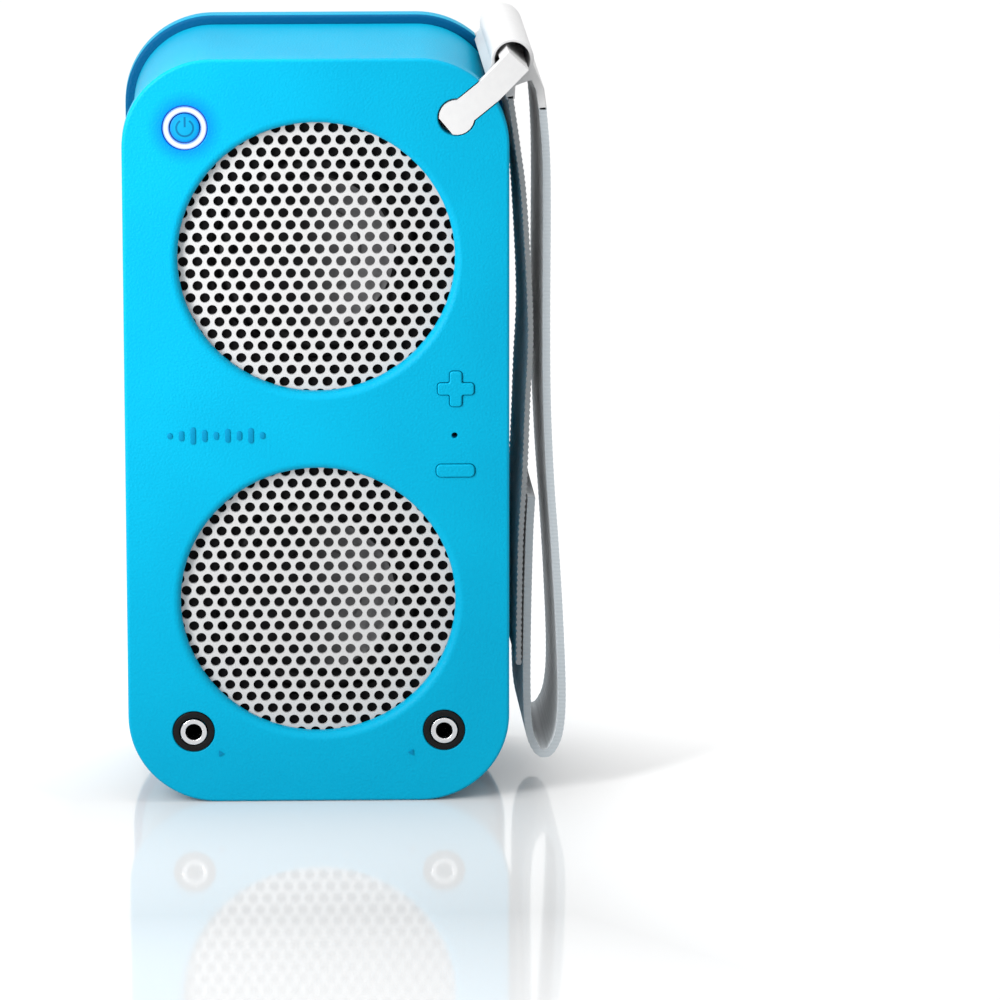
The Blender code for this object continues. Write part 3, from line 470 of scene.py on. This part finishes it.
face, rimBack = case["front"], case["front"] + case["rim"]
panelBack = face + case["panel"]
inner = case["recess"] + case["wall"] + case["gap"]
shape = roundEdges(caseShape(0, face, rimBack), case["edge"], 6)
shape = carve(shape, caseShape(inner, 0, rimBack + case["lipReach"]), "UNION")
shape = carve(shape, caseShape(inner + case["lip"], panelBack, rimBack + 6))
for tool in slotBoss(panelBack - 1, rimBack):
    shape = carve(shape, tool, "UNION")
for place in screws:
    shape = carve(shape, turned([(0, panelBack - 1), (3, panelBack - 1), (3, back - 3.5),
                                 (0, back - 3.5)], place, 32), "UNION")
shape = keyholeCuts(shape, face, 1)
lipRound = grille["lip"] - grille["opening"]
lip = arc((grille["lip"], face + lipRound), lipRound, 270, 180, 10)
for height in drivers.values():
    shape = carve(shape, turned([(0, face - 2), (grille["lip"], face - 2)] + lip + [
        (grille["opening"], rimBack + 2), (0, rimBack + 2)], (0, height), 160))
shape = carve(shape, turned(hole(power["outer"] + 0.2, face, 4, 0.3), power["at"]))
shape = carve(shape, turned(hole(pinhole["radius"], face, 4, 0.15), pinhole["at"], 32))
for place in jacks.values():
    shape = carve(shape, turned(hole(jack["disc"] + 0.15, face, face + jack["depth"] + 0.3, 0.3),
                                place))
    shape = carve(shape, turned([(0, face), (jack["sleeve"] + 0.3, face),
                                 (jack["sleeve"] + 0.3, 4), (0, 4)], place))
gap = 0.12  # around the volume keys
shape = carve(shape, cross(plus["across"] + 2 * gap, plus["arm"] + 2 * gap, face - 2, 4,
                           plus["at"], plus["corner"] + gap, plus["inside"]))
shape = carve(shape, plate([side + 2 * gap for side in minus["size"]], minus["corner"] + gap,
                           face - 2, 4, minus["at"], 10))
shape = softenMouths(shape, face, (plus["at"], minus["at"]), 8, 0.2)
finishPiece(shape, "front_cover_moulding", skin, stands=["front_cover"])
print("front cover made")

shape = carve(caseShape(case["recess"], rimBack + 0.3, back - case["rim"] - 0.3),
              caseShape(case["recess"] + case["wall"], rimBack - 4, back))
finishPiece(roundEdges(shape, 0.2, 2), "waist_moulding", cyanPlastic,
            stands=["waist_shell"])

rimFront = back - case["rim"]
shape = roundEdges(caseShape(0, rimFront, back), case["edge"], 6)
shape = carve(shape, caseShape(inner, rimFront - case["lipReach"], back - 1), "UNION")
shape = carve(shape, caseShape(inner + case["lip"], rimFront - 6, back - case["panel"]))
for tool in slotBoss(rimFront, back - case["panel"] + 1):
    shape = carve(shape, tool, "UNION")
shape = keyholeCuts(shape, back, -1)
for place in screws:
    shape = carve(shape, turned(hole(2.9, back, back - 2, 0.25, -1), place, 64))
    shape = carve(shape, turned([(0, rimFront - 2), (1.4, rimFront - 2), (1.4, back - 1),
                                 (0, back - 1)], place, 32))
shape = carve(shape, plate([side + 0.6 for side in charge["size"]], 1.7, back - 6, back + 2,
                           charge["at"], 8))
shape = softenMouths(shape, back, (charge["at"],), 6, 0.25)
finishPiece(shape, "back_cover_moulding", cyanPlastic, stands=["back_cover"])
print("back cover and waist made")


# punched sheet: one hexagonal cell with a round hole, repeated and trimmed to a disc
def grilleMesh(centre, offset):
    pitch, radius, opening = grille["pitch"], grille["radius"], grille["hole"]
    bm = bmesh.new()
    bmesh.ops.create_circle(bm, cap_ends=False, segments=18, radius=opening)
    rim = bmesh.ops.create_circle(bm, cap_ends=False, segments=6, radius=pitch / math.sqrt(3))
    border = list({edge for vert in rim["verts"] for edge in vert.link_edges})
    bmesh.ops.subdivide_edges(bm, edges=border, cuts=2)
    bmesh.ops.bridge_loops(bm, edges=bm.edges[:])
    cell = bm.verts[:] + bm.edges[:] + bm.faces[:]
    row = pitch * math.sqrt(3) / 2
    count = int(radius / row) + 2
    for j in range(-count, count + 1):
        for i in range(-count - 2, count + 3):
            x, z = offset[0] + (i + 0.5 * (j % 2)) * pitch, offset[1] + j * row
            if (i, j) == (0, 0) or math.hypot(x, z) > radius + pitch * 0.6:
                continue
            copy = bmesh.ops.duplicate(bm, geom=cell)
            corners = [item for item in copy["geom"] if isinstance(item, bmesh.types.BMVert)]
            bmesh.ops.translate(bm, vec=(x - offset[0], z - offset[1], 0), verts=corners)
    bmesh.ops.remove_doubles(bm, verts=bm.verts[:], dist=1e-3)
    standUp(bm, (centre[0] + offset[0], centre[1] + offset[1]), grille["front"])
    thicken(bm, grille["thickness"])
    low, high = grille["front"] - 1, grille["front"] + grille["thickness"] + 1
    return carve(bm, turned([(0, low), (radius - 0.05, low), (radius - 0.05, high), (0, high)],
                            centre, 144), "INTERSECT")


for where, offset in (("top", (-0.91, -1.3)), ("bottom", (0.91, -0.91))):
    finishPiece(grilleMesh((0, drivers[where]), offset), f"grille_{where}_sheet", grilleSteel,
                stands=[f"grille_{where}"], weigh=False)
print("grilles made")


# the parts of each driver that show through its grille
roll = {"crest": (22.2, 5.1), "radius": 2.6, "skin": 0.45, "inside": 19.1, "outside": 28.3,
        "foot": 24.9, "front": 4.4, "back": 4.9}
dish = {"outside": 19.0, "reach": 9.6, "front": 4.4, "deep": 4.6, "paper": 0.45}
dome = {"radius": 10.6, "front": 9.35, "rise": 1.05, "paper": 0.4}
for where, height in drivers.items():
    place, moving = (0, height), f"cone_assembly_{where}"
    rolled = roll["radius"] - roll["skin"]
    shape = turned([(roll["inside"], roll["front"]),
                    *arc(roll["crest"], roll["radius"], 196, 344, 14),
                    (roll["outside"], roll["front"]), (roll["outside"], roll["back"]),
                    (roll["foot"], roll["back"]), *arc(roll["crest"], rolled, 344, 196, 14),
                    (roll["inside"], roll["back"])], place, 120)
    finishPiece(roundEdges(shape, 0.08, 1, 60), f"surround_{where}_roll", rubber,
                stands=[f"surround_{where}"])
    sweep = [(dish["outside"] - dish["reach"] * t,
              dish["front"] + dish["deep"] * math.sin(t * math.pi / 2) ** 1.1)
             for t in (i / 12 for i in range(13))]
    shape = turned(sweep + [(r, y + dish["paper"]) for r, y in reversed(sweep)], place, 120)
    finishPiece(shape, f"cone_{where}_dish", conePaper, moving, [f"cone_{where}"])
    bowl = [(dome["radius"] * i / 10, dome["front"] - dome["rise"] * (i / 10) ** 2)
            for i in range(11)]
    shape = turned(bowl + [(r, y + dome["paper"]) for r, y in reversed(bowl)], place, 96)
    finishPiece(shape, f"dust_cap_{where}_dish", conePaper, moving,
                [f"dust_cap_{where}"])
print("drivers made")


# light ring, power button, volume keys and jacks
flange = panelBack + 0.3
shape = turned([(power["inner"], face - 0.1), (power["outer"], face - 0.1),
                (power["outer"], flange), (power["flange"], flange),
                (power["flange"], flange + power["thick"]),
                (power["inner"], flange + power["thick"])], power["at"])
finishPiece(roundEdges(shape, 0.18, 3), "light_ring_lens", lightGuide,
            stands=["light_ring"])
cap = power["inner"] - power["gap"]
shape = turned([(0, face), (cap - 0.5, face), (cap, face + 0.12), (cap, flange + 1.5),
                (5, flange + 1.5), (5, flange + 2.3), (power["stem"], flange + 2.3),
                (power["stem"], power["stemEnd"]), (0, power["stemEnd"])],
               power["at"])
finishPiece(roundEdges(shape, 0.1, 2), "power_button_cap", powerBlue,
            "power_button", ["power_button"])

for name, top, skirt in (
        ("up", cross(plus["across"], plus["arm"], face - 0.5, flange + 0.3, plus["at"],
                     plus["corner"], plus["inside"]), (11.4, 11.4)),
        ("down", plate(minus["size"], minus["corner"], face - 0.5, flange + 0.3, minus["at"], 10),
         (11.8, 6.0))):
    at = (plus if name == "up" else minus)["at"]
    shape = roundEdges(top, 0.4, 4, 30, lambda edge: max(v.co.y for v in edge.verts) < face)
    shape = carve(shape, plate(skirt, 1, flange, flange + 0.9, at, 6), "UNION")
    shape = carve(shape, turned([(0, flange + 0.5), (power["stem"], flange + 0.5),
                                 (power["stem"], power["stemEnd"]), (0, power["stemEnd"])],
                                at, 32), "UNION")
    finishPiece(shape, f"volume_{name}_key", cyanPlastic,
                f"volume_{name}_button", [f"volume_{name}_button"])

for name, place in jacks.items():
    shape = turned([(jack["sleeve"] + 0.3, face - 0.1), (jack["disc"], face - 0.1),
                    (jack["disc"], face + jack["depth"]),
                    (jack["sleeve"] + 0.3, face + jack["depth"])], place)
    finishPiece(roundEdges(shape, 0.2, 3), f"jack_{name}_disc", blackPlastic,
                stands=[f"jack_{name}_trim"])
    shape = turned([(jack["bore"], face + 0.35), (jack["bore"] + 0.35, face - 0.4),
                    (jack["sleeve"], face - 0.4), (jack["sleeve"], jack["end"]),
                    (jack["bore"], jack["end"])],
                   place)
    finishPiece(roundEdges(shape, 0.15, 3), f"jack_{name}_ferrule", chrome,
                stands=[f"jack_{name}_sleeve"])
print("buttons and jacks made")


# raised marks: a row of level bars, and an arrowhead beside each jack, coloured dark blue as
# painted shade of their relief
bars = {"left": -36.0, "right": -13.4, "height": 93.9, "tall": 4.3, "width": 1.25,
        "levels": (0.35, 0.6, 1.0, 0.7, 0.45, 0.8, 0.55, 0.9, 0.4), "proud": 0.3}
shapes = []
for i, level in enumerate(bars["levels"]):
    x = bars["left"] + (bars["right"] - bars["left"]) * i / (len(bars["levels"]) - 1)
    shapes.append(plate((bars["width"], bars["tall"] * level), bars["width"] * 0.49,
                        face - bars["proud"], face + 0.3, (x, bars["height"]), 6))
finishPiece(roundEdges(join(*shapes), 0.14, 2), "level_mark", paintedShadeMarkBlue,
            weigh=False)

arrows = {"size": 0.85, "places": ((-24.3, 12.6, 0), (22.8, 12.6, 180))}
shapes = []
for x, z, turn in arrows["places"]:
    bm = bmesh.new()
    bmesh.ops.create_circle(bm, cap_ends=True, segments=3, radius=arrows["size"])
    bmesh.ops.rotate(bm, cent=(0, 0, 0), matrix=Matrix.Rotation(math.radians(turn - 90), 3, "Z"),
                     verts=bm.verts[:])
    standUp(bm, (x, z), face - bars["proud"])
    thicken(bm, 0.3)
    shapes.append(bm)
finishPiece(join(*shapes), "jack_marks", paintedShadeMarkBlue, weigh=False)


# case screws and charge socket
for number, (x, z) in enumerate(screws, 1):
    shape = turned([(0, 38.5), (1.1, 38.5), (1.1, 50.05), (2.6, 50.05), (2.6, 50.95),
                    (2.2, 51.25), (0, 51.25)], (x, z), 48)
    for turn in (0, math.pi / 2):
        shape = carve(shape, boxAlong((x, z), turn, -1.4, 1.4, 0.55, 50.45, 52))
    finishPiece(shape, f"case_screw_{number}_head", zincSteel,
                stands=[f"case_screw_{number}"])
sizeX, sizeZ = charge["size"]
shape = plate(charge["size"], 1.4, 42.7, back - 0.5, charge["at"], 8)
shape = carve(shape, plate((sizeX - 0.8, sizeZ - 0.8), 1.0, back - 5.5, back + 2, charge["at"], 8))
shape = carve(shape, plate((sizeX - 2.6, 0.7), 0.15, back - 6, back - 1.3, charge["at"], 3),
              "UNION")
finishPiece(roundEdges(shape, 0.08, 2, 60), "charge_socket_shell", zincSteel,
            stands=["charge_socket"])
print("marks, screws and charge socket made")


# link, sleeve and the two runs of the strap
shape = cadCopy("strap_link")
roundEdges(shape, 0.45, 4, 28)
finishPiece(shape, "strap_link_strip", whitePlastic, stands=["strap_link"])
shape = cadCopy("strap_sleeve")
roundEdges(shape, 0.5, 4, 40)
finishPiece(shape, "strap_sleeve_moulding", whitePlastic, "strap",
            ["strap_sleeve"])

strap = {"low": 4.25, "high": 45.25, "lean": 2.0,
         "band": 1.9, "webbing": 1.5,
         "bandRun": ((55.2, 174.2), (56.0, 164), (56.3, 151), (56.2, 120), (56.4, 100),
                     (57.2, 81), (58.3, 65), (59.5, 45), (60.2, 26), (59.6, 16), (57.8, 11.2),
                     (55.8, 9.85), (53.8, 11.2), (52.1, 16), (51.5, 26), (51.6, 45), (52.1, 66),
                     (52.6, 76)),
         "webbingRun": ((47.35, 177.0), (49.2, 164), (50.8, 150), (52.3, 120), (51.6, 100),
                        (50.9, 81), (50.0, 66), (49.55, 45), (49.45, 33))}


def smoothRun(points, spacing):  # a smooth line through the points, in even steps
    points = [Vector(point) for point in points]
    ends = [points[0] * 2 - points[1]] + points + [points[-1] * 2 - points[-2]]
    fine = []
    for before, one, two, after in zip(ends, ends[1:], ends[2:], ends[3:]):
        for t in (i / 24 for i in range(24)):
            fine.append(0.5 * (2 * one + (two - before) * t
                               + (2 * before - 5 * one + 4 * two - after) * t ** 2
                               + (3 * one - before - 3 * two + after) * t ** 3))
    fine.append(points[-1])
    length = sum((b - a).length for a, b in zip(fine, fine[1:]))
    steps, line, walked = round(length / spacing), [fine[0]], 0.0
    for a, b in zip(fine, fine[1:]):
        reach = (b - a).length
        while len(line) < steps and walked + reach >= len(line) * length / steps - 1e-9:
            line.append(a.lerp(b, (len(line) * length / steps - walked) / reach))
        walked += reach
    return line[:steps] + [fine[-1]], length


def run(points, thickness, rib, pitch, columns=10):  # a ribbed strip hung along its run
    line, length = smoothRun(points, pitch / 4)
    bm = bmesh.new()
    spine = []
    for i, point in enumerate(line):
        ahead = (line[min(i + 1, len(line) - 1)] - line[max(i - 1, 0)]).normalized()
        wave = rib * math.cos(math.pi * i / 2)
        spine.append((point, Vector((-ahead.y, ahead.x)), wave))
    walls = []
    for way in (-1, 1):
        verts = [bm.verts.new((p.x + way * n.x * (thickness / 2 - rib + w), strap["low"],
                               p.y + way * n.y * (thickness / 2 - rib + w)))
                 for p, n, w in spine]
        walls.append(verts)
    outline = walls[0] + walls[1][::-1]
    for one, two in zip(outline, outline[1:] + outline[:1]):
        bm.edges.new((one, two))
    count = len(spine)
    for i in range(count - 1):
        bm.faces.new((walls[0][i], walls[0][i + 1], walls[1][i + 1], walls[1][i]))
    thicken(bm, strap["high"] - strap["low"])
    across = [edge for edge in bm.edges
              if abs(edge.verts[0].co.y - edge.verts[1].co.y) > 1]
    bmesh.ops.subdivide_edges(bm, edges=across, cuts=columns - 1, use_grid_fill=True)
    for vert in bm.verts:
        share = (vert.co.y - strap["low"]) / (strap["high"] - strap["low"])
        vert.co.x -= strap["lean"] * share
    bmesh.ops.recalc_face_normals(bm, faces=bm.faces[:])
    return bm, length


def cloth(name, plain, trim, rib):
    made = Finish(name, plain, 0.85, Sheen_Weight=0.25, Sheen_Roughness=0.4)
    sides, depth, up = made.axes(made.place())
    fuzz = made.noise(made.place(), 0.5, 4.0)
    warp = (depth * (2 * math.pi / (0.95 * mm))).sine() * 0.5 + 0.5
    weft = (up * (2 * math.pi / (rib * mm))).sine() * 0.5 + 0.5
    threads = warp * weft * 0.7 + fuzz * 0.3
    border = (depth - 24.75 * mm).size().between(19.6 * mm, 20.3 * mm)
    dark = [c * 0.75 for c in plain]
    woven = made.mix(threads, (*dark, 1), (*plain, 1))
    # painted shade: the cloth is painted darker grey towards its top, where it runs into the
    # sleeve
    woven = made.mix(up.between(150 * mm, 176 * mm), woven, (0.5, 0.5, 0.5, 1))
    made.feed("Base Color", made.mix(border, woven, (*trim, 1)))
    made.bump(threads, 0.12)
    return made


bandFabric = cloth("band fabric", (0.72, 0.75, 0.77), (0.32, 0.35, 0.37), 0.95)
webbingFabric = cloth("webbing fabric", (0.88, 0.90, 0.92), (0.27, 0.28, 0.285), 1.4)
for name, points, thickness, rib, finish, slot in (
        ("strap_band", strap["bandRun"], strap["band"], 0.04, bandFabric, "band_fabric"),
        ("strap_webbing", strap["webbingRun"], strap["webbing"], 0.14, webbingFabric,
         "webbing_fabric")):
    shape, length = run(points, thickness, rib, 1.45)
    piece = finishPiece(shape, f"{name}_cloth", finish, "strap", [name], weigh=False,
                        sharp=60)
    length * mm
    print(name, "flat length", round(length, 1), "mm")


# CAD nodes that stay as they are
kept = {"basket": basketSteel, "driver_screw": zincSteel, "front_plate": zincSteel,
        "yoke": zincSteel, "magnet": ferrite, "spider": spiderCloth, "voice_coil": copper,
        "main_board": circuitBoard, "power_board": circuitBoard, "volume_board": circuitBoard,
        "battery_pack": batteryWrap, "battery_tray": blackPlastic, "microphone": blackPlastic,
        "jack_in_body": blackPlastic, "jack_out_body": blackPlastic, "link_liner": whitePlastic,
        "power_switch": blackPlastic, "volume_up_switch": blackPlastic,
        "volume_down_switch": blackPlastic}
for name, node in nodes.items():
    for start, finish in kept.items():
        if name.startswith(start) and not node.hide_render:
            for place in node.material_slots:
                place.material = finish.material


# floor, lights and camera
floorFinish = Finish("floor", (0.72, 0.72, 0.72), 0.06, Specular_IOR_Level=0.6)
ripple = floorFinish.noise(floorFinish.place(), 60.0)
across, depth, up = floorFinish.axes(floorFinish.place())
# painted shade: the floor is painted darker close around the speaker and paler further away
paintedShadeFalloff = (depth + 45 * mm).size().between(45 * mm, 110 * mm).most(
    across.size().between(60 * mm, 120 * mm))
floorFinish.feed("Base Color", floorFinish.mix(paintedShadeFalloff, (0.56, 0.56, 0.56, 1), (0.86, 0.86, 0.86, 1)))
floorFinish.feed("Roughness", ripple * 0.04 + 0.05)
bm = bmesh.new()
bmesh.ops.create_grid(bm, x_segments=1, y_segments=1, size=4)
floor = asObject(bm, "floor")
floor.data.materials.append(floorFinish.material)


def lamp(name, place, aim, size, watts, spread):
    light = bpy.data.lights.new(name, "AREA")
    light.shape, light.size, light.size_y = "RECTANGLE", size[0], size[1]
    light.energy, light.spread = watts, math.radians(spread)
    holder = bpy.data.objects.new(name, light)
    holder.location, holder.visible_camera = place, False
    holder.rotation_euler = (Vector(aim) - Vector(place)).to_track_quat("-Z", "Y").to_euler()
    bpy.context.scene.collection.objects.link(holder)


lamp("key", (-0.15, -0.14, 0.2), (0.0, 0.0, 0.13), (0.06, 0.26), 0.32, 90)
lamp("top", (-0.02, 0.02, 0.52), (0, 0.025, 0.188), (0.14, 0.1), 0.085, 50)
world = bpy.data.worlds.new("studio")
world.use_nodes = True
world.node_tree.nodes["Background"].inputs[0].default_value = (1.0, 1.0, 1.0, 1)
world.node_tree.nodes["Background"].inputs[1].default_value = 1.14
bpy.context.scene.world = world
bpy.context.scene.view_settings.view_transform = "Standard"

view = {"place": (0, -2.00225, 0.6406), "pitch": 15.73, "yaw": 1.28, "lens": 305.3}
camera = bpy.data.cameras.new("camera")
camera.lens, camera.sensor_width, camera.clip_end = view["lens"], 36, 50
holder = bpy.data.objects.new("camera", camera)
holder.location = view["place"]
holder.rotation_euler = (math.radians(90 - view["pitch"]), 0, math.radians(-view["yaw"]))
bpy.context.scene.collection.objects.link(holder)
bpy.context.scene.camera = holder
print("stage made")
